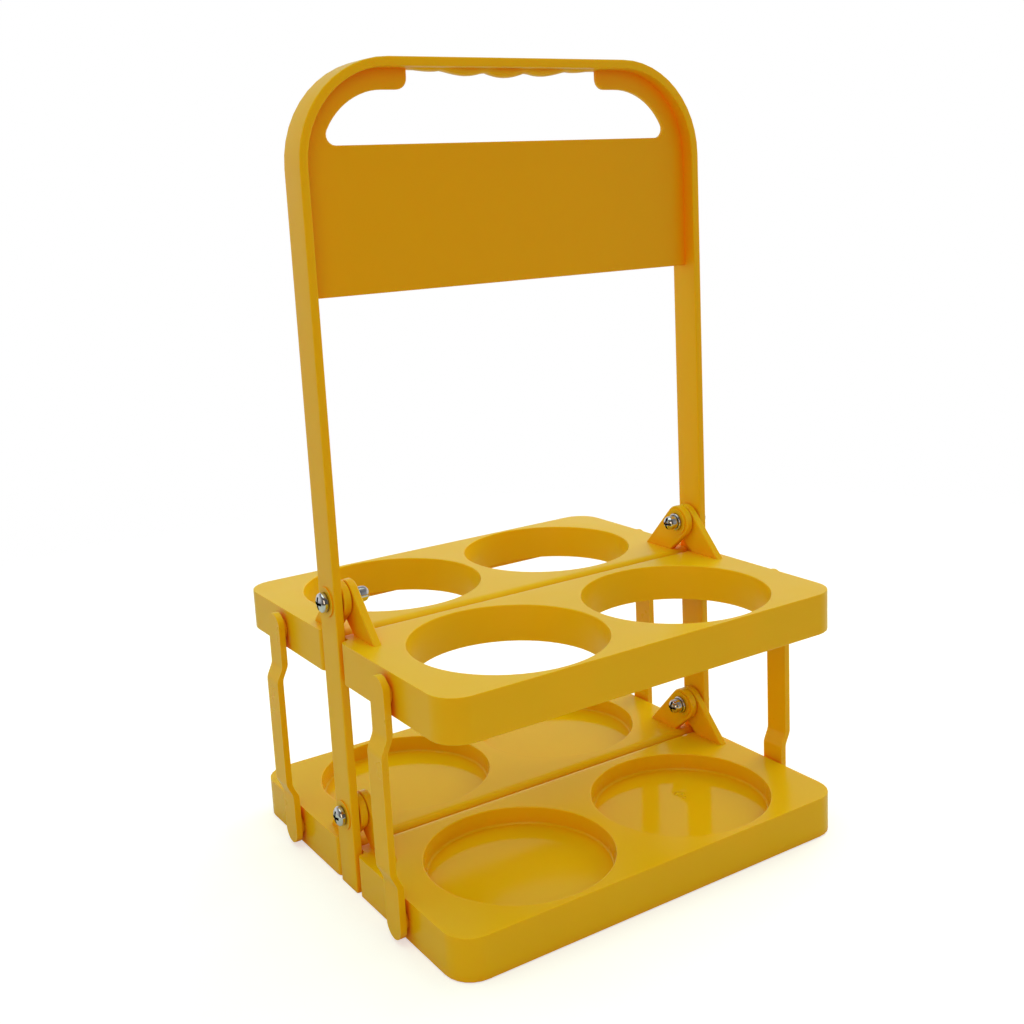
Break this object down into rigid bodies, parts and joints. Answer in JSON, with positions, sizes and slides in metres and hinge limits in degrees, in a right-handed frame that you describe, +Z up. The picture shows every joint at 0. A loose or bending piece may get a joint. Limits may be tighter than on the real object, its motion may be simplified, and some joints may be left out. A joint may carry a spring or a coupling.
{
  "type": "foldable bottle carrier",
  "caption": "Folding bottle carrier: an upright handle frame with two levels of hinged half trays, joined by side links, with round bottle places.",
  "frame": {"origin": "on the floor, midway between the two legs and between the front and back trays", "axes": "+Z up along the legs, +X along the handle and the long side of the trays, -Y towards the front trays"},
  "size_m": [0.2122, 0.1844, 0.3398],
  "materials": {
    "frame_plastic": "glossy golden-yellow injection moulding",
    "tray_plastic": "glossy golden-yellow injection moulding",
    "link_plastic": "glossy golden-yellow injection moulding",
    "plated_steel": "bright plated steel"
  },
  "bodies": {
    "frame": {"handle_frame": "frame_plastic", "upper_left_pivot_barrel": "plated_steel", "upper_right_pivot_barrel": "plated_steel", "lower_left_pivot_barrel": "plated_steel", "lower_right_pivot_barrel": "plated_steel", "upper_left_pivot_screw": "plated_steel", "upper_right_pivot_screw": "plated_steel", "lower_left_pivot_screw": "plated_steel", "lower_right_pivot_screw": "plated_steel"},
    "upper_front": {"upper_front_tray": "tray_plastic"},
    "upper_back": {"upper_back_tray": "tray_plastic"},
    "lower_front": {"lower_front_tray": "tray_plastic"},
    "lower_back": {"lower_back_tray": "tray_plastic"},
    "link_front_left": {"front_left_link": "link_plastic"},
    "link_front_right": {"front_right_link": "link_plastic"},
    "link_back_left": {"back_left_link": "link_plastic"},
    "link_back_right": {"back_right_link": "link_plastic"}
  },
  "joints": [
    {"name": "upper_front_fold", "type": "hinge", "parent": "frame", "child": "upper_front", "pos_m": [0, 0, 0.1264], "axis": [-1, 0, 0], "range_deg": [0, 90]},
    {"name": "lower_front_fold", "type": "hinge", "parent": "frame", "child": "lower_front", "pos_m": [0, 0, 0.0328], "axis": [-1, 0, 0], "range_deg": [0, 90]},
    {"name": "upper_back_fold", "type": "hinge", "parent": "frame", "child": "upper_back", "pos_m": [0, 0, 0.1264], "axis": [1, 0, 0], "range_deg": [0, 90]},
    {"name": "lower_back_fold", "type": "hinge", "parent": "frame", "child": "lower_back", "pos_m": [0, 0, 0.0328], "axis": [1, 0, 0], "range_deg": [0, 90]},
    {"name": "front_left_link_pivot", "type": "hinge", "parent": "upper_front", "child": "link_front_left", "pos_m": [-0.1018, -0.049, 0.1026], "axis": [-1, 0, 0], "range_deg": [-90, 0]},
    {"name": "front_right_link_pivot", "type": "hinge", "parent": "upper_front", "child": "link_front_right", "pos_m": [0.1018, -0.049, 0.1026], "axis": [-1, 0, 0], "range_deg": [-90, 0]},
    {"name": "back_left_link_pivot", "type": "hinge", "parent": "upper_back", "child": "link_back_left", "pos_m": [-0.1018, 0.049, 0.1026], "axis": [1, 0, 0], "range_deg": [-90, 0]},
    {"name": "back_right_link_pivot", "type": "hinge", "parent": "upper_back", "child": "link_back_right", "pos_m": [0.1018, 0.049, 0.1026], "axis": [1, 0, 0], "range_deg": [-90, 0]}
  ],
  "couplings": [
    {"joint": "lower_front_fold", "follows": "upper_front_fold", "ratio": 1},
    {"joint": "front_left_link_pivot", "follows": "upper_front_fold", "ratio": -1},
    {"joint": "front_right_link_pivot", "follows": "upper_front_fold", "ratio": -1},
    {"joint": "lower_back_fold", "follows": "upper_back_fold", "ratio": 1},
    {"joint": "back_left_link_pivot", "follows": "upper_back_fold", "ratio": -1},
    {"joint": "back_right_link_pivot", "follows": "upper_back_fold", "ratio": -1}
  ]
}
